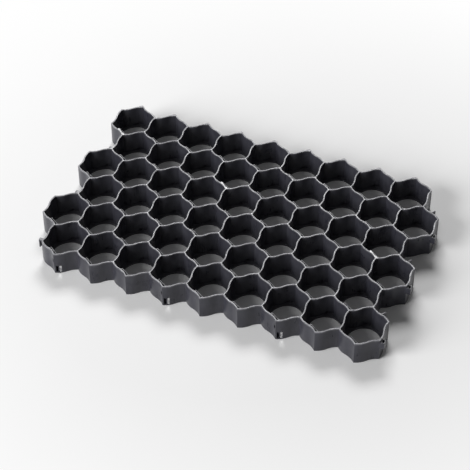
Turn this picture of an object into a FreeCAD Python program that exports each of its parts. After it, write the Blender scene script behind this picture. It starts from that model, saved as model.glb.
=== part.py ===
"""Grass paver grid: one moulded sheet of wavy six-sided cells, with clips along its edges.

X runs along the rows of cells, Y back across the rows, Z up. The even rows stand half a cell to the left.
"""
import FreeCAD, Part
import os

import Sketcher

Vector = FreeCAD.Vector

# Driving dimensions: lengths in millimetres, the draft in degrees, the last three are counts.
SIZES = {
    "cell_pitch": 63.0,
    "row_pitch": 63.0,
    "grid_height": 40.0,
    "wall_thickness": 2.4,
    "wall_bow": 1.5,
    "wall_draft": 0.6,
    "floor_thickness": 2.4,
    "floor_lip": 3.2,
    "notch_start": 8.0,
    "notch_width": 6.0,
    "notch_height": 4.5,
    "clip_reach": 6.0,
    "clip_wall": 1.4,
    "clip_drop": 2.0,
    "end_rib_reach": 9.0,
    "gate_reach": 4.5,
    "gate_depth": 6.0,
    "hook_reach": 6.5,
    "hook_width": 5.0,
    "hook_inset": 0.5,
    "hook_arm": 3.0,
    "hook_tongue": 2.0,
    "hook_drop": 16.0,
    "loop_clearance": 0.5,
    "loop_wall": 1.6,
    "loop_reach": 8.6,
    "loop_height": 12.0,
    "socket_start": 1.5,
    "socket_width": 9.0,
    "socket_height": 15.0,
    "slot_width": 3.5,
    "slot_height": 7.0,
    "slot_sill": 20.0,
    "peg_clearance": 0.6,
    "peg_reach": 4.0,
    "lug_reach": 1.5,
    "lug_width": 7.0,
    "lug_height": 5.0,
    "cells_in_row": 9,
    "row_pairs": 3,
    "cells_per_socket": 3,
}
# Place along the row and row, both counted from nought, of the cells that the plastic was gated into.
GATE_CELLS = [(0, 5), (3, 4), (8, 3)]

HALF_PITCH = "(sizes.cell_pitch / 2)"
THIRD_ROW = "(sizes.row_pitch / 3)"
HALF_WALL = "(sizes.wall_thickness / 2)"
# Length of a slanted wall from corner to corner, and the two parts of a unit step along it.
SLANT = f"sqrt({HALF_PITCH}^2 + {THIRD_ROW}^2)"
STEP_X = f"({HALF_PITCH} / {SLANT})"
STEP_Y = f"({THIRD_ROW} / {SLANT})"

doc = FreeCAD.newDocument("grass_paver_grid")
sheet = doc.addObject("Spreadsheet::Sheet", "sizes")
for row, (alias, value) in enumerate(SIZES.items(), start=1):
    sheet.set(f"A{row}", alias)
    sheet.set(f"B{row}", str(value))
    sheet.setAlias(f"B{row}", alias)
doc.recompute()

body = doc.addObject("PartDesign::Body", "paver_grid")
body.Label = "paver_grid"


def worth(expression):
    """Return what an expression of the sheet's sizes comes to."""
    return float(FreeCAD.Units.Quantity(body.evalExpression(expression)).Value)


def origin_feature(role):
    """Return the body's own origin plane or axis with this role."""
    return next(item for item in body.Origin.OriginFeatures if item.Role == role)


def level_sketch(name, height="0"):
    """Add a sketch that lies level at a height."""
    sketch = body.newObject("Sketcher::SketchObject", name)
    sketch.AttachmentSupport = [(origin_feature("XY_Plane"), "")]
    sketch.MapMode = "FlatFace"
    sketch.setExpression("AttachmentOffset.Base.z", height)
    return sketch


def hold(sketch, parts, expression):
    """Add a dimension to a sketch and tie it to an expression."""
    index = sketch.addConstraint(Sketcher.Constraint(*parts, worth(expression)))
    sketch.setExpression(f"Constraints[{index}]", expression)


def pin(sketch, item, end, place):
    """Hold one end of an item at a place."""
    hold(sketch, ("DistanceX", -1, 1, item, end), place[0])
    hold(sketch, ("DistanceY", -1, 1, item, end), place[1])


def shifted(place, right, back):
    """Return a place moved to the right and back by two expressions."""
    return f"{place[0]} + {right}", f"{place[1]} + {back}"


def polygon(sketch, places):
    """Draw a closed outline of straight lines through places."""
    points = [Vector(worth(x), worth(y), 0) for x, y in places]
    first = sketch.GeometryCount
    count = len(points)
    for index, start in enumerate(points):
        sketch.addGeometry(Part.LineSegment(start, points[(index + 1) % count]))
    for index, place in enumerate(places):
        following = first + (index + 1) % count
        sketch.addConstraint(Sketcher.Constraint("Coincident", first + index, 2, following, 1))
        pin(sketch, first + index, 1, place)


def rectangle(sketch, low, high):
    """Draw a rectangle from its lowest place to its highest."""
    polygon(sketch, [low, (high[0], low[1]), high, (low[0], high[1])])


def wavy_cell(sketch, centre, inset):
    """Draw one cell's outline, inset from the middle line of its walls.

    Walked anticlockwise, each wall swings out and then in: two equal arcs that meet half way.
    """
    far = f"(2 * {THIRD_ROW} - ({inset}) / {STEP_X})"
    side = f"({HALF_PITCH} - ({inset}))"
    near = f"({THIRD_ROW} - ({inset}) * (1 - {STEP_Y}) / {STEP_X})"
    right = [(side, f"-{near}"), (side, near)]
    left = [(f"-{side}", near), (f"-{side}", f"-{near}")]
    places = [shifted(centre, x, y) for x, y in [("0", f"-{far}"), *right, ("0", far), *left]]
    points = [Vector(worth(x), worth(y), 0) for x, y in places]
    first = sketch.GeometryCount
    for index, start in enumerate(points):
        end = points[(index + 1) % 6]
        run = end - start
        outwards = Vector(run.y, -run.x, 0).normalize() * worth("sizes.wall_bow")
        middle = (start + end) / 2
        sketch.addGeometry(Part.Arc(start, (start + middle) / 2 + outwards, middle))
        sketch.addGeometry(Part.Arc(middle, (middle + end) / 2 - outwards, end))
    for index, place in enumerate(places):
        swing_out = first + 2 * index
        swing_in = swing_out + 1
        following = first + (2 * index + 2) % 12
        upright = index % 3 == 1
        span = f"(2 * {near})" if upright else f"sqrt({side}^2 + ({far} - {near})^2)"
        sketch.addConstraint(Sketcher.Constraint("Coincident", swing_out, 2, swing_in, 2))
        sketch.addConstraint(Sketcher.Constraint("Coincident", swing_in, 1, following, 1))
        pin(sketch, swing_out, 1, place)
        hold(sketch, ("Radius", swing_out), f"(({span} / 4)^2 + sizes.wall_bow^2) / (2 * sizes.wall_bow)")
        sketch.addConstraint(Sketcher.Constraint("Equal", swing_out, swing_in))
    for swing_out in range(first, first + 12, 2):
        sketch.addConstraint(Sketcher.Constraint("Symmetric", swing_out, 1, swing_out + 1, 1, swing_out, 2))


def floor_ellipse(sketch, centre):
    """Draw the oval opening in one cell's floor, which leaves a lip along the walls."""
    across = f"({HALF_PITCH} - {HALF_WALL} - sizes.floor_lip)"
    back = f"(sizes.row_pitch / sqrt(3) - {HALF_WALL} - sizes.floor_lip)"
    middle = Vector(worth(centre[0]), worth(centre[1]), 0)
    if worth(back) > worth(across):
        long_half, short_half, direction, long_way = back, across, "Vertical", Vector(0, 1, 0)
    else:
        long_half, short_half, direction, long_way = across, back, "Horizontal", Vector(1, 0, 0)
    short_way = Vector(-long_way.y, long_way.x, 0)
    long_end = middle + long_way * worth(long_half)
    short_end = middle + short_way * worth(short_half)
    ellipse = sketch.addGeometry(Part.Ellipse(long_end, short_end, middle))
    sketch.exposeInternalGeometry(ellipse)
    pin(sketch, ellipse, 3, centre)
    sketch.addConstraint(Sketcher.Constraint(direction, ellipse + 1))
    hold(sketch, ("Distance", ellipse + 1), f"2 * {long_half}")
    hold(sketch, ("Distance", ellipse + 2), f"2 * {short_half}")


def feature(kind, name, sketch, length):
    """Add a pad or a pocket of a sketch and work it out."""
    item = body.newObject(f"PartDesign::{kind}", name)
    item.Profile = sketch
    item.setExpression("Length", length)
    body.Tip = item
    doc.recompute()
    return item


def repeated(name, features, axis, spacing, count):
    """Repeat features in a line."""
    pattern = body.newObject("PartDesign::LinearPattern", name)
    pattern.Originals = features
    pattern.Direction = (origin_feature(axis), [""])
    pattern.Mode = "Spacing"
    pattern.setExpression("Offset", spacing)
    pattern.setExpression("Occurrences", count)
    body.Tip = pattern
    return pattern


def spread(name, features):
    """Repeat features over the whole grid: along the row, and every second row back."""
    pattern = repeated(name, features, "X_Axis", "sizes.cell_pitch", "sizes.cells_in_row")
    pattern.Direction2 = (origin_feature("Y_Axis"), [""])
    pattern.Mode2 = "Spacing"
    pattern.setExpression("Offset2", "2 * sizes.row_pitch")
    pattern.setExpression("Occurrences2", "sizes.row_pairs")
    # A spacing of -1 stands for the common one.
    pattern.Spacings2 = [-1] * (int(worth("sizes.row_pairs")) - 1)
    doc.recompute()


# The origin is the middle of the whole outline: the loops stand out to the right and the lugs to the back.
LUG_TOP = f"(sizes.wall_bow + {HALF_WALL} + sizes.lug_reach)"
PAST_RIGHT = f"(sizes.loop_reach - sizes.wall_bow - {HALF_WALL})"
PAST_BACK = f"({LUG_TOP} * {STEP_X} - {HALF_WALL} / {STEP_X})"
FIRST_X = f"(-(2 * sizes.cells_in_row - 3) * {HALF_PITCH} / 2 - {PAST_RIGHT} / 2)"
FIRST_Y = f"(-(2 * sizes.row_pairs - 1) * sizes.row_pitch / 2 - {PAST_BACK} / 2)"


def cell_centre(place, row):
    """Return the centre of a cell, its place along the row and its row counted from nought."""
    half_steps = f"(2 * ({place}) - {row % 2})"
    return shifted((FIRST_X, FIRST_Y), f"{half_steps} * {HALF_PITCH}", f"({row}) * sizes.row_pitch")


def corner(centre, right, back):
    """Return a cell's corner, in half pitches to the right and third parts of a row back."""
    return shifted(centre, f"({right}) * {HALF_PITCH}", f"({back}) * {THIRD_ROW}")


def off_wall(start, run, along, away):
    """Return a place along a slanted wall from its start, and away from its middle line to the back.

    run holds the wall's two signs: which way it goes across and which way back.
    """
    right = f"(({run[0]}) * ({along}) * {STEP_X} + ({-run[0] * run[1]}) * ({away}) * {STEP_Y})"
    back = f"(({run[1]}) * ({along}) * {STEP_Y} + ({away}) * {STEP_X})"
    return shifted(start, right, back)


def off_wall_block(sketch, start, run, along, away):
    """Draw a block from the lower to the higher of two lengths along a wall and two away from it."""
    corners = [(along[0], away[0]), (along[1], away[0]), (along[1], away[1]), (along[0], away[1])]
    polygon(sketch, [off_wall(start, run, *place) for place in corners])


NEAR_LEFT = (1, -1)
NEAR_RIGHT = (1, 1)
FAR_LEFT_DOWN = (-1, -1)
ODD_ROW = cell_centre(0, 0)
EVEN_ROW = cell_centre(0, 1)

# Where the clips' ribs leave the near left wall, and how far past a wall's middle line a cut has to reach.
RIB_START = f"({SLANT} / 2)"
RIB_END = f"({SLANT} / 2 + sizes.clip_wall)"
THROUGH = "(sizes.wall_bow + sizes.wall_thickness)"
SOCKET_END = "(sizes.socket_start + sizes.socket_width)"
SOCKET_SPACING = "sizes.cells_per_socket * sizes.cell_pitch"
SOCKET_COUNT = "floor(sizes.cells_in_row / sizes.cells_per_socket)"

# The slab: one solid block for each cell, all run together.
blocks = []
for name, centre in (("odd", ODD_ROW), ("even", EVEN_ROW)):
    outline = level_sketch(f"{name}_block_outline")
    wavy_cell(outline, centre, f"-{HALF_WALL}")
    blocks.append(feature("Pad", f"{name}_block", outline, "sizes.grid_height"))
spread("slab", blocks)

# Hooks at the left ends of the odd rows: an arm off the rim and a tongue down from its end.
HOOK_LOW = "sizes.hook_inset"
HOOK_HIGH = "(sizes.hook_inset + sizes.hook_width)"
TONGUE_INNER = "(sizes.hook_tongue - sizes.hook_reach)"
left_end = corner(ODD_ROW, -1, -1)
hooks = []
hook_tip = shifted(left_end, "-sizes.hook_reach", HOOK_LOW)
for name, root, depth in (("arm", HALF_WALL, "sizes.hook_arm"), ("tongue", TONGUE_INNER, "sizes.hook_drop")):
    plan = level_sketch(f"hook_{name}_plan", f"sizes.grid_height - {depth}")
    rectangle(plan, hook_tip, shifted(left_end, root, HOOK_HIGH))
    hooks.append(feature("Pad", f"hook_{name}", plan, depth))
repeated("hooks", hooks, "Y_Axis", "2 * sizes.row_pitch", "sizes.row_pairs")
doc.recompute()

# Loops at the right ends of the odd rows, under the level of the hooks' arms.
right_corner = corner(cell_centre("sizes.cells_in_row - 1", 0), 1, -1)
LOOP_SIDE = "(sizes.loop_clearance + sizes.loop_wall)"
LOOP_TOP = "sizes.grid_height - sizes.hook_arm - sizes.loop_clearance"
SLOT_RIGHT = "(sizes.loop_reach - sizes.loop_wall)"
SLOT_LEFT = f"({SLOT_RIGHT} - sizes.hook_tongue - 2 * sizes.loop_clearance)"
loop_sketch = level_sketch("loop_plan", f"{LOOP_TOP} - sizes.loop_height")
rectangle(
    loop_sketch,
    shifted(right_corner, "0", f"({HOOK_LOW} - {LOOP_SIDE})"),
    shifted(right_corner, "sizes.loop_reach", f"({HOOK_HIGH} + {LOOP_SIDE})"),
)
rectangle(
    loop_sketch,
    shifted(right_corner, SLOT_LEFT, f"({HOOK_LOW} - sizes.loop_clearance)"),
    shifted(right_corner, SLOT_RIGHT, f"({HOOK_HIGH} + sizes.loop_clearance)"),
)
loop = feature("Pad", "loop", loop_sketch, "sizes.loop_height")
repeated("loops", [loop], "Y_Axis", "2 * sizes.row_pitch", "sizes.row_pairs")
doc.recompute()

# Pegs at the back for the next grid's sockets, and a small lug on the rim at every back corner.
BACK_ROW = "(2 * sizes.row_pairs - 1)"
back_cell = (EVEN_ROW[0], f"{FIRST_Y} + {BACK_ROW} * sizes.row_pitch")
peg_sketch = level_sketch("peg_plan", "sizes.floor_thickness + sizes.peg_clearance")
off_wall_block(
    peg_sketch,
    corner(back_cell, 1, 1),
    NEAR_RIGHT,
    ("sizes.socket_start + sizes.peg_clearance", f"{SOCKET_END} - sizes.peg_clearance"),
    ("-sizes.wall_bow", "sizes.peg_reach"),
)
peg_height = "sizes.socket_height - sizes.floor_thickness - 2 * sizes.peg_clearance"
peg = feature("Pad", "peg", peg_sketch, peg_height)
repeated("pegs", [peg], "X_Axis", SOCKET_SPACING, SOCKET_COUNT)
doc.recompute()
lug_sketch = level_sketch("lug_plan", "sizes.grid_height - sizes.lug_height")
off_wall_block(
    lug_sketch,
    corner(back_cell, 0, 2),
    FAR_LEFT_DOWN,
    ("0", "sizes.lug_width"),
    (HALF_WALL, LUG_TOP),
)
lug = feature("Pad", "lug", lug_sketch, "sizes.lug_height")
repeated("lugs", [lug], "X_Axis", "sizes.cell_pitch", "sizes.cells_in_row")
doc.recompute()

# The ribs of the same clips that stand out at the right ends of the odd rows.
right_end = cell_centre("sizes.cells_in_row", 1)
rib_sketch = level_sketch("end_rib_plan")
off_wall_block(
    rib_sketch,
    corner(right_end, -1, -1),
    NEAR_LEFT,
    (RIB_START, RIB_END),
    ("0", "sizes.end_rib_reach"),
)
rib = feature("Pad", "end_rib", rib_sketch, "sizes.grid_height")
repeated("end_ribs", [rib], "Y_Axis", "2 * sizes.row_pitch", "sizes.row_pairs")
doc.recompute()

# Sockets for the next grid's pegs, in every third front corner, each with a small slot above it.
FRONT_CORNER = corner(ODD_ROW, 0, -2)
socket_sketch = level_sketch("socket_plan", "sizes.socket_height")
off_wall_block(
    socket_sketch,
    FRONT_CORNER,
    NEAR_RIGHT,
    ("sizes.socket_start", SOCKET_END),
    (f"-2 * {THROUGH}", THROUGH),
)
socket = feature("Pocket", "socket", socket_sketch, "sizes.socket_height - sizes.floor_thickness")
slot_sketch = level_sketch("slot_plan", "sizes.slot_sill + sizes.slot_height")
off_wall_block(
    slot_sketch,
    corner(ODD_ROW, -1, -1),
    NEAR_LEFT,
    (f"{SLANT} - {HALF_WALL} - sizes.slot_width", f"{SLANT} - {HALF_WALL}"),
    (f"-{THROUGH}", THROUGH),
)
slot = feature("Pocket", "slot", slot_sketch, "sizes.slot_height")
repeated("sockets", [socket, slot], "X_Axis", SOCKET_SPACING, SOCKET_COUNT)
doc.recompute()

# The cells, narrower towards the floor, with an oval opening in the floor. A notch at the foot of the far left
# wall goes in as far as the middle of the wall.
cell_outlines = level_sketch("cell_outlines", "sizes.grid_height")
floor_ovals = level_sketch("floor_ovals", "sizes.floor_thickness")
notch_plan = level_sketch("notch_plan", "sizes.floor_thickness + sizes.notch_height")
for centre in (ODD_ROW, EVEN_ROW):
    wavy_cell(cell_outlines, centre, HALF_WALL)
    floor_ellipse(floor_ovals, centre)
    off_wall_block(
        notch_plan,
        corner(centre, 0, 2),
        FAR_LEFT_DOWN,
        ("sizes.notch_start", "sizes.notch_start + sizes.notch_width"),
        (f"-{THROUGH}", "sizes.wall_bow"),
    )
hollows = feature("Pocket", "hollows", cell_outlines, "sizes.grid_height - sizes.floor_thickness")
hollows.setExpression("TaperAngle", "-sizes.wall_draft")
floor_openings = feature("Pocket", "floor_openings", floor_ovals, "sizes.floor_thickness")
notches = feature("Pocket", "notches", notch_plan, "sizes.notch_height")
spread("cells", [hollows, floor_openings, notches])

# A clip pocket in every cell: a rib off the middle of the near left wall, and a plate from it to the next.
CLIP_INNER = "(sizes.clip_reach - sizes.clip_wall)"


def plate_end(away):
    """Return how far along the near left wall a plate reaches the wall that it ends in."""
    return f"({SLANT} + ({away}) * ({STEP_X}^2 - {STEP_Y}^2) / (2 * {STEP_X} * {STEP_Y}) + sizes.wall_bow)"


clip_sketch = level_sketch("clip_plan")
for centre in (ODD_ROW, EVEN_ROW):
    left_corner = corner(centre, -1, -1)
    outline = [
        (RIB_START, "0"),
        (RIB_END, "0"),
        (RIB_END, CLIP_INNER),
        (plate_end(CLIP_INNER), CLIP_INNER),
        (plate_end("sizes.clip_reach"), "sizes.clip_reach"),
        (RIB_START, "sizes.clip_reach"),
    ]
    polygon(clip_sketch, [off_wall(left_corner, NEAR_LEFT, *place) for place in outline])
clip = feature("Pad", "clip", clip_sketch, "sizes.grid_height - sizes.clip_drop")
spread("clips", [clip])

# Thick wedges of plastic at the gates, in the near corners of a few cells.
gate_sketch = level_sketch("gate_plan", "sizes.grid_height - sizes.gate_depth")
for gated_cell in GATE_CELLS:
    left_corner = corner(cell_centre(*gated_cell), -1, -1)
    wedge = [(RIB_START, "0"), (f"{SLANT} + {HALF_WALL}", "0"), (RIB_START, "sizes.gate_reach")]
    polygon(gate_sketch, [off_wall(left_corner, NEAR_LEFT, *place) for place in wedge])
feature("Pad", "gates", gate_sketch, "sizes.gate_depth")

failed = [item.Name for item in doc.Objects if {"Invalid", "Error"} & set(item.State)]
if failed or body.Shape.isNull() or not body.Shape.isValid():
    raise SystemExit(f"not built: {failed}")
os.makedirs("parts", exist_ok=True)
body.Shape.exportStep(f"parts/{body.Label}.step")
print(f"{body.Label}: {body.Shape.Volume:.0f} cubic millimetres within {body.Shape.BoundBox}")
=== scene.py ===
"""A grass paver grid of black moulded plastic, lying flat, seen from its near right corner."""
import math
import random

import bmesh
import bpy
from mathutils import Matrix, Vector


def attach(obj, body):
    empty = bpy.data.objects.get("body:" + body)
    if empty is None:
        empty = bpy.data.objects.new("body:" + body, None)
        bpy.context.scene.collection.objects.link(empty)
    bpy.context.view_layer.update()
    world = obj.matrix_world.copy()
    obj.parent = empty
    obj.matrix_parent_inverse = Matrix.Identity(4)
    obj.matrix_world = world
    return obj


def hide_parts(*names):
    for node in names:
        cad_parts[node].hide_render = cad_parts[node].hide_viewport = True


MM = 0.001

# How the cells lie: the middle of the first one, and their numbers
FIRST_CELL = Vector((-239.2, -158.526, 0)) * MM
CELL_PITCH = 63 * MM
ROW_PITCH = 63 * MM
CELLS_IN_ROW = 9
ROWS = 6
RIM_HEIGHT = 40 * MM

# The rounding that the mould leaves on a sharp edge, and the bend from which an edge is sharp
EDGE_ROUNDING = 0.35 * MM
ROUNDED_FROM = math.radians(40)

# Place along the row and row, from nought, of the cells that the plastic was gated into, and the
# outline of a torn gate on the near left wall of such a cell, in millimetres along the wall and
# away from its middle line
GATED_CELLS = [(0, 5), (3, 4), (8, 3)]
GATE_OUTLINE = [
    (19.1, 0.1), (22.0, 0.5), (25.5, 0.9), (29.0, 0.7), (33.0, -0.1), (36.6, -1.0), (39.3, -0.4),
    (40.4, 2.2), (38.4, 2.8), (34.0, 1.9), (30.0, 2.4), (26.0, 2.9), (22.5, 3.4), (19.2, 4.1),
]

# The rings of a torn gate from its edge inwards, as a share of the outline and a height over the
# rim in millimetres, and how far that height strays up and down
GATE_RINGS = [(1.0, -0.05), (0.95, 0.1), (0.7, 0.2), (0.35, 0.12)]
GATE_RAGGEDNESS = 0.06

# The low round mark of an ejector pin, how much of its width is left at its top, and how far it
# reaches down into the rim
PIN_MARK_RADIUS = 1.05 * MM
PIN_MARK_HEIGHT = 0.15 * MM
PIN_MARK_TOP = 0.86
PIN_MARK_SINK = 0.03 * MM

# Dust: its colour, how much of the skin it hides where it lies thickest, and how much rougher it
# makes the skin
DUST_COLOUR = (0.155, 0.154, 0.164, 1)
DUST_COVER = 0.35
DUST_ROUGHENING = 0.12

# How far from the middle of the grid the floor starts to fade to plain white, and where it is white
FADE_START = 0.36
FADE_END = 0.8

# How much of the white studio round the floor shows in the gloss of the plastic
MIRRORED_STUDIO = 0.2

# Where the viewer stands, the point of the grid in the middle of the view, and the lens
EYE = Vector((0.708, -1.716, 1.686))
AIM = Vector((-0.005, -0.018, 0.010))
LENS_MM = 117

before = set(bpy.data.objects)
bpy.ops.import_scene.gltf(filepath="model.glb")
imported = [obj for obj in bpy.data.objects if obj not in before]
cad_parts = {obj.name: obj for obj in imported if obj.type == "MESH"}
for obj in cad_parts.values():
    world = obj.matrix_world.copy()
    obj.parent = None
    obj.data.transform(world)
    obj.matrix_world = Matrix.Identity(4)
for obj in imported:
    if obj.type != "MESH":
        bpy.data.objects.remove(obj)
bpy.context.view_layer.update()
scene = bpy.context.scene


class NodeBuilder:
    """Adds nodes to a tree and links their sockets."""

    def __init__(self, tree):
        self.tree = tree

    def add(self, kind, *inputs, settings=None, **named_inputs):
        """Add a node: its inputs in their order, or by name with _ for each space."""
        node = self.tree.nodes.new(kind)
        for name, value in (settings or {}).items():
            setattr(node, name, value)
        for index, value in enumerate(inputs):
            self.feed(node.inputs[index], value)
        for name, value in named_inputs.items():
            self.feed(node.inputs[name.replace("_", " ")], value)
        return node

    def feed(self, socket, value):
        if isinstance(value, bpy.types.NodeSocket):
            self.tree.links.new(value, socket)
        else:
            socket.default_value = value

    def maths(self, operation, *inputs):
        return self.add("ShaderNodeMath", *inputs, settings={"operation": operation}).outputs[0]

    def blend(self, share, first, second):
        """Mix two colours by a share from nought to one."""
        node = self.add("ShaderNodeMix", settings={"data_type": "RGBA"})
        for index, value in ((0, share), (6, first), (7, second)):
            self.feed(node.inputs[index], value)
        return node.outputs[2]

    def between(self, value, low, high, to_low=0.0, to_high=1.0):
        """Bring a value from one range into another, and keep it inside."""
        node = self.add(
            "ShaderNodeMapRange", value, low, high, to_low, to_high, settings={"clamp": True}
        )
        return node.outputs[0]


def effect_group(name, inputs, outputs):
    """Start a shader node group with named inputs and outputs."""
    tree = bpy.data.node_groups.new(name, "ShaderNodeTree")
    for socket, kind in inputs.items():
        tree.interface.new_socket(socket, in_out="INPUT", socket_type=f"NodeSocket{kind}")
    for socket in outputs:
        tree.interface.new_socket(socket, in_out="OUTPUT", socket_type="NodeSocketFloat")
    builder = NodeBuilder(tree)
    return builder, builder.add("NodeGroupInput").outputs, builder.add("NodeGroupOutput").inputs


def mould_grain_group():
    """Height of the surface: fine grain, and faint lines where the mould was drawn off upwards."""
    builder, given, result = effect_group(
        "mould_grain",
        {"Place": "Vector", "Grain per metre": "Float", "Draw lines": "Float"},
        ["Height"],
    )
    grain = builder.add(
        "ShaderNodeTexNoise",
        Vector=given["Place"],
        Scale=given["Grain per metre"],
        Detail=4.0,
        Roughness=0.6,
    )
    upright = builder.add("ShaderNodeMapping", Vector=given["Place"], Scale=(1.0, 1.0, 0.03))
    lines = builder.add(
        "ShaderNodeTexNoise", Vector=upright.outputs[0], Scale=420.0, Detail=3.0, Roughness=0.7
    )
    drawn = builder.maths("MULTIPLY", lines.outputs["Fac"], given["Draw lines"])
    builder.feed(result["Height"], builder.maths("ADD", grain.outputs["Fac"], drawn))
    return builder.tree


def flow_marks_group():
    """Share of duller skin where the plastic flowed together: swirls, and streaks up the walls."""
    builder, given, result = effect_group(
        "flow_marks", {"Place": "Vector", "Swirls per metre": "Float"}, ["Share"]
    )
    swirls = builder.add(
        "ShaderNodeTexNoise",
        Vector=given["Place"],
        Scale=given["Swirls per metre"],
        Detail=3.0,
        Distortion=1.6,
    )
    upright = builder.add("ShaderNodeMapping", Vector=given["Place"], Scale=(1.0, 1.0, 0.12))
    streaks = builder.add(
        "ShaderNodeTexNoise", Vector=upright.outputs[0], Scale=210.0, Detail=4.0, Roughness=0.65
    )
    streak_share = 0.7
    both = builder.maths(
        "MULTIPLY_ADD", streaks.outputs["Fac"], streak_share, swirls.outputs["Fac"]
    )
    builder.feed(result["Share"], builder.between(both, low=0.66, high=1.06))
    return builder.tree


def rim_wear_and_highlight_group():
    """Share of scuffed skin with a painted highlight: along the top of the walls, in patches, and
    less further down.
    """
    builder, given, result = effect_group(
        "rim_wear_and_highlight", {"Place": "Vector", "Rim height": "Float", "Depth": "Float"}, ["Share"]
    )
    height = builder.add("ShaderNodeSeparateXYZ", given["Place"]).outputs["Z"]
    below_rim = builder.maths("SUBTRACT", given["Rim height"], height)
    depth = builder.maths("DIVIDE", below_rim, given["Depth"])
    near_rim = builder.between(depth, low=0.0, high=1.0, to_low=1.0, to_high=0.0)
    patches = builder.add(
        "ShaderNodeTexNoise", Vector=given["Place"], Scale=150.0, Detail=5.0, Roughness=0.7
    )
    broken = builder.between(patches.outputs["Fac"], low=0.36, high=0.66, to_low=0.25)
    builder.feed(result["Share"], builder.maths("MULTIPLY", near_rim, broken))
    return builder.tree


def settled_dust_group():
    """Share of fine dust on level places, thickest in soft patches."""
    builder, given, result = effect_group(
        "settled_dust", {"Place": "Vector", "Facing": "Vector"}, ["Share"]
    )
    upwards = builder.add("ShaderNodeSeparateXYZ", given["Facing"]).outputs["Z"]
    level = builder.between(upwards, low=0.75, high=0.97)
    patches = builder.add(
        "ShaderNodeTexNoise", Vector=given["Place"], Scale=85.0, Detail=5.0, Roughness=0.6
    )
    thick = builder.between(patches.outputs["Fac"], low=0.35, high=0.75, to_low=0.15)
    builder.feed(result["Share"], builder.maths("MULTIPLY", level, thick))
    return builder.tree


MOULD_GRAIN = mould_grain_group()
FLOW_MARKS = flow_marks_group()
RIM_WEAR_AND_HIGHLIGHT = rim_wear_and_highlight_group()
SETTLED_DUST = settled_dust_group()


def moulded_plastic(name, skin, swirled_skin, scuffed_and_highlight_skin, gloss, wear_and_highlight_depth, bump):
    """Plastic as it leaves the mould: smooth, duller in its flow marks, paler along the tops of the
    walls, where it is scuffed and where a highlight is painted into the colour.

    gloss holds the roughness of clean, swirled and scuffed skin.
    """
    material = bpy.data.materials.new(name)
    material.use_nodes = True
    material.node_tree.nodes.clear()
    builder = NodeBuilder(material.node_tree)

    def effect(group, **inputs):
        return builder.add("ShaderNodeGroup", settings={"node_tree": group}, **inputs).outputs[0]

    place = builder.add("ShaderNodeTexCoord").outputs["Object"]
    facing = builder.add("ShaderNodeNewGeometry").outputs["Normal"]
    flow = effect(FLOW_MARKS, Place=place, Swirls_per_metre=22.0)
    # Pale tops of the walls: partly scuffing, partly a painted highlight along the rims
    wear_and_highlight = effect(RIM_WEAR_AND_HIGHLIGHT, Place=place, Rim_height=RIM_HEIGHT, Depth=wear_and_highlight_depth)
    dust = effect(SETTLED_DUST, Place=place, Facing=facing)
    grain = effect(MOULD_GRAIN, Place=place, Grain_per_metre=1500.0, Draw_lines=0.8)

    colour = builder.blend(flow, skin, swirled_skin)
    colour = builder.blend(wear_and_highlight, colour, scuffed_and_highlight_skin)
    colour = builder.blend(builder.maths("MULTIPLY", dust, DUST_COVER), colour, DUST_COLOUR)
    roughness = builder.between(flow, low=0.0, high=1.0, to_low=gloss[0], to_high=gloss[1])
    roughness = builder.maths("MULTIPLY_ADD", wear_and_highlight, gloss[2] - gloss[0], roughness)
    roughness = builder.maths("MULTIPLY_ADD", dust, DUST_ROUGHENING, roughness)
    relief = builder.add("ShaderNodeBump", Strength=1.0, Distance=bump, Height=grain)
    surface = builder.add(
        "ShaderNodeBsdfPrincipled",
        Base_Color=colour,
        Roughness=roughness,
        IOR=1.49,
        Normal=relief.outputs["Normal"],
    )
    builder.add("ShaderNodeOutputMaterial", Surface=surface.outputs["BSDF"])
    return material


def black_plastic():
    return moulded_plastic(
        "black_plastic",
        skin=(0.028, 0.028, 0.037, 1),
        swirled_skin=(0.044, 0.0442, 0.055, 1),
        # The pale rim colour is partly scuffing and partly a painted highlight for the glint on the
        # rims
        scuffed_and_highlight_skin=(0.27, 0.269, 0.292, 1),
        gloss=(0.27, 0.4, 0.24),
        wear_and_highlight_depth=2.5 * MM,
        bump=0.03 * MM,
    )


def whitened_and_highlight_plastic():
    """Plastic that was strained until it went pale, on the torn gates, painted paler still as a
    highlight where the gates glint.
    """
    return moulded_plastic(
        "whitened_and_highlight_plastic",
        # Near white: partly strain whitening, partly a painted highlight
        skin=(0.55, 0.555, 0.565, 1),
        swirled_skin=(0.66, 0.665, 0.675, 1),
        scuffed_and_highlight_skin=(0.8, 0.805, 0.815, 1),
        gloss=(0.26, 0.36, 0.24),
        wear_and_highlight_depth=2.0 * MM,
        bump=0.08 * MM,
    )


def painted_highlight_plastic():
    """Pale colour painted as a highlight on the marks of the pins that pushed the grid off its
    mould, smoother than the rest.
    """
    return moulded_plastic(
        "painted_highlight_plastic",
        # Pale grey: a painted highlight on the pin marks
        skin=(0.36, 0.365, 0.375, 1),
        swirled_skin=(0.46, 0.465, 0.475, 1),
        scuffed_and_highlight_skin=(0.62, 0.625, 0.635, 1),
        gloss=(0.2, 0.3, 0.18),
        wear_and_highlight_depth=2.0 * MM,
        bump=0.02 * MM,
    )


def add_piece(name, mesh):
    piece = bpy.data.objects.new(name, mesh)
    scene.collection.objects.link(piece)
    return piece


def finished(piece):
    """Turn a piece and its modifiers into a plain mesh."""
    evaluated = piece.evaluated_get(bpy.context.evaluated_depsgraph_get())
    mesh = bpy.data.meshes.new_from_object(evaluated)
    piece.modifiers.clear()
    piece.data = mesh
    return piece


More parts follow.
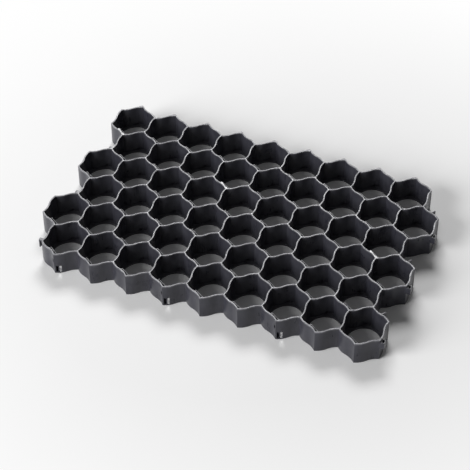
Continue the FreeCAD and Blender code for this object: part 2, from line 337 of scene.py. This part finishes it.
def moulded_grid(plastic):
    """The grid in one skin, every sharp edge rounded."""
    shape = bmesh.new()
    shape.from_mesh(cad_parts["paver_grid"].data)
    bmesh.ops.remove_doubles(shape, verts=shape.verts, dist=0.001 * MM)
    mesh = bpy.data.meshes.new("moulded_grid")
    shape.to_mesh(mesh)
    shape.free()
    mesh.materials.append(plastic)
    mesh.shade_smooth()
    grid = add_piece("moulded_grid", mesh)
    rounding = grid.modifiers.new("rounding", "BEVEL")
    rounding.width = EDGE_ROUNDING
    rounding.segments = 2
    rounding.limit_method = "ANGLE"
    rounding.angle_limit = ROUNDED_FROM
    rounding.use_clamp_overlap = False
    grid.modifiers.new("flat_faces_flat", "WEIGHTED_NORMAL").keep_sharp = True
    return finished(grid)


def pin_marks_tree():
    """A low round mark wherever three walls meet, from the pins that pushed the grid out."""
    tree = bpy.data.node_groups.new("pin_marks", "GeometryNodeTree")
    inputs = {
        "Cells in a row": "Int",
        "Rows": "Int",
        "Cell pitch": "Float",
        "Row pitch": "Float",
        "First cell": "Vector",
        "Rim height": "Float",
        "Mark radius": "Float",
        "Mark height": "Float",
        "Plastic": "Material",
    }
    tree.interface.new_socket("Geometry", in_out="OUTPUT", socket_type="NodeSocketGeometry")
    for name, kind in inputs.items():
        tree.interface.new_socket(name, in_out="INPUT", socket_type=f"NodeSocket{kind}")
    builder = NodeBuilder(tree)
    given = builder.add("NodeGroupInput").outputs
    gaps = builder.maths("SUBTRACT", given["Rows"], 1)
    count = builder.maths("MULTIPLY", given["Cells in a row"], gaps)
    third = builder.maths("DIVIDE", given["Row pitch"], 3.0)
    index = builder.add("GeometryNodeInputIndex").outputs[0]
    along = builder.maths("FLOORED_MODULO", index, given["Cells in a row"])
    row = builder.maths("FLOOR", builder.maths("DIVIDE", index, given["Cells in a row"]))
    joined = builder.add("GeometryNodeJoinGeometry")
    for first_row, side in ((0, 2.0), (1, -2.0)):
        this_row = builder.maths("ADD", row, float(first_row))
        shift = builder.maths("MULTIPLY", builder.maths("FLOORED_MODULO", this_row, 2.0), 0.5)
        cells_right = builder.maths("SUBTRACT", along, shift)
        right = builder.maths("MULTIPLY", cells_right, given["Cell pitch"])
        rows_back = builder.maths("MULTIPLY", this_row, given["Row pitch"])
        back = builder.maths("MULTIPLY_ADD", third, side, rows_back)
        offset = builder.add("ShaderNodeCombineXYZ", right, back, given["Rim height"]).outputs[0]
        place = builder.add(
            "ShaderNodeVectorMath", offset, given["First cell"], settings={"operation": "ADD"}
        ).outputs[0]
        points = builder.add("GeometryNodePoints", Count=count, Position=place).outputs[0]
        tree.links.new(points, joined.inputs[0])
    mark = builder.add(
        "GeometryNodeMeshCone",
        settings={"fill_type": "NGON"},
        Vertices=16,
        Side_Segments=1,
        Fill_Segments=1,
        Radius_Top=builder.maths("MULTIPLY", given["Mark radius"], PIN_MARK_TOP),
        Radius_Bottom=given["Mark radius"],
        Depth=given["Mark height"],
    )
    placed = builder.add(
        "GeometryNodeInstanceOnPoints", Points=joined.outputs[0], Instance=mark.outputs[0]
    )
    real = builder.add("GeometryNodeRealizeInstances", placed.outputs[0])
    coloured = builder.add("GeometryNodeSetMaterial", real.outputs[0], Material=given["Plastic"])
    builder.add("NodeGroupOutput", coloured.outputs[0])
    return tree


def pin_marks(plastic):
    marks = add_piece("pin_marks", bpy.data.meshes.new("pin_marks"))
    modifier = marks.modifiers.new("pin_marks", "NODES")
    modifier.node_group = pin_marks_tree()
    values = {
        "Cells in a row": CELLS_IN_ROW,
        "Rows": ROWS,
        "Cell pitch": CELL_PITCH,
        "Row pitch": ROW_PITCH,
        "First cell": FIRST_CELL,
        "Rim height": RIM_HEIGHT - PIN_MARK_SINK,
        "Mark radius": PIN_MARK_RADIUS,
        "Mark height": PIN_MARK_HEIGHT,
        "Plastic": plastic,
    }
    for socket in modifier.node_group.interface.items_tree:
        if socket.in_out == "INPUT":
            modifier[socket.identifier] = values[socket.name]
    return finished(marks)


def torn_gates(plastic):
    """The ragged skin on each thick wedge, where a gate was twisted off."""
    torn = random.Random(7)
    along = Vector((CELL_PITCH / 2, -ROW_PITCH / 3, 0)).normalized()
    away = Vector((-along.y, along.x, 0))
    shape = bmesh.new()
    for place, row in GATED_CELLS:
        cell = FIRST_CELL + Vector((CELL_PITCH * (place - (row % 2) / 2), ROW_PITCH * row, 0))
        wall_start = cell - Vector((CELL_PITCH / 2, ROW_PITCH / 3, 0))
        outline = [wall_start + (along * far + away * side) * MM for far, side in GATE_OUTLINE]
        middle = sum(outline, Vector()) / len(outline)
        rings = []
        for size, height in GATE_RINGS:
            ring = []
            for corner in outline:
                point = middle + (corner - middle) * size
                raised = height + torn.uniform(-GATE_RAGGEDNESS, GATE_RAGGEDNESS)
                point.z = RIM_HEIGHT + raised * MM
                ring.append(shape.verts.new(point))
            rings.append(ring)
        for outer, inner in zip(rings, rings[1:]):
            for index in range(len(outer)):
                after = (index + 1) % len(outer)
                shape.faces.new((outer[index], outer[after], inner[after], inner[index]))
        shape.faces.new(rings[-1])
        shape.faces.new(reversed(rings[0]))
    mesh = bpy.data.meshes.new("torn_gates")
    shape.to_mesh(mesh)
    shape.free()
    mesh.materials.append(plastic)
    return add_piece("torn_gates", mesh)


def seen_or_mirrored(builder, mirrored):
    """One for what is seen, also through something clear, and a share for what gloss mirrors."""
    path = builder.add("ShaderNodeLightPath").outputs
    seen = builder.maths("MAXIMUM", path["Is Camera Ray"], path["Is Transmission Ray"])
    return builder.maths("MULTIPLY_ADD", path["Is Glossy Ray"], mirrored, seen)


def floor_material():
    """Matt white paper that takes the shadow of the grid, and fades to plain white further out."""
    material = bpy.data.materials.new("studio_floor")
    material.use_nodes = True
    material.node_tree.nodes.clear()
    builder = NodeBuilder(material.node_tree)
    place = builder.add("ShaderNodeTexCoord").outputs["Object"]
    uneven = builder.add("ShaderNodeTexNoise", Vector=place, Scale=3.0, Detail=2.0).outputs["Fac"]
    colour = builder.blend(uneven, (0.9, 0.9, 0.9, 1), (0.93, 0.93, 0.93, 1))
    paper = builder.add("ShaderNodeBsdfPrincipled", Base_Color=colour, Roughness=0.9)
    white = builder.add("ShaderNodeEmission", Color=(1, 1, 1, 1), Strength=1.0)
    distance = builder.add("ShaderNodeVectorMath", place, settings={"operation": "LENGTH"})
    faded = builder.between(distance.outputs["Value"], FADE_START, FADE_END)
    far = builder.maths("MULTIPLY", faded, seen_or_mirrored(builder, 1.0))
    surface = builder.add(
        "ShaderNodeMixShader", far, paper.outputs["BSDF"], white.outputs["Emission"]
    )
    builder.add("ShaderNodeOutputMaterial", Surface=surface.outputs["Shader"])
    return material


def add_floor():
    """A square of paper, a hair below the grid, so that no two faces share a plane."""
    reach = 6.0
    below = -0.2 * MM
    mesh = bpy.data.meshes.new("studio_floor")
    corners = [(-reach, -reach), (reach, -reach), (reach, reach), (-reach, reach)]
    mesh.from_pydata([(x, y, below) for x, y in corners], [], [(0, 1, 2, 3)])
    mesh.materials.append(floor_material())
    add_piece("studio_floor", mesh)


def aimed_at(thing, aim):
    thing.rotation_euler = (aim - thing.location).to_track_quat("-Z", "Y").to_euler()
    scene.collection.objects.link(thing)


def add_camera():
    camera = bpy.data.objects.new("camera", bpy.data.cameras.new("camera"))
    camera.data.lens = LENS_MM
    camera.location = EYE
    aimed_at(camera, AIM)
    scene.camera = camera


def add_softbox(name, place, size, power):
    lamp = bpy.data.objects.new(name, bpy.data.lights.new(name, "AREA"))
    lamp.data.shape = "RECTANGLE"
    lamp.data.size, lamp.data.size_y = size
    lamp.data.energy = power
    lamp.location = place
    aimed_at(lamp, Vector((0, 0, 0)))


def add_world(strength):
    """A white studio all round, which lights the grid by this much."""
    world = bpy.data.worlds.new("studio")
    world.use_nodes = True
    builder = NodeBuilder(world.node_tree)
    background = world.node_tree.nodes["Background"]
    background.inputs["Color"].default_value = (1, 1, 1, 1)
    seen = seen_or_mirrored(builder, MIRRORED_STUDIO)
    level = builder.between(seen, low=0.0, high=1.0, to_low=strength)
    builder.feed(background.inputs["Strength"], level)
    scene.world = world


grid = moulded_grid(black_plastic())
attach(grid, "root")
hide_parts("paver_grid")

# Painted highlights in the colour of the pin marks and the torn gates; the gates are partly strain
# whitened too
for piece in (pin_marks(painted_highlight_plastic()), torn_gates(whitened_and_highlight_plastic())):
    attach(piece, "root")

add_floor()
add_world(strength=0.1)
add_softbox("back_softbox", place=Vector((-1.26, 3.08, 3.0)), size=(2.2, 1.4), power=125)
add_softbox("left_softbox", place=Vector((-2.74, -3.65, 2.1)), size=(2.6, 2.6), power=275)
add_camera()

scene.view_settings.view_transform = "Standard"
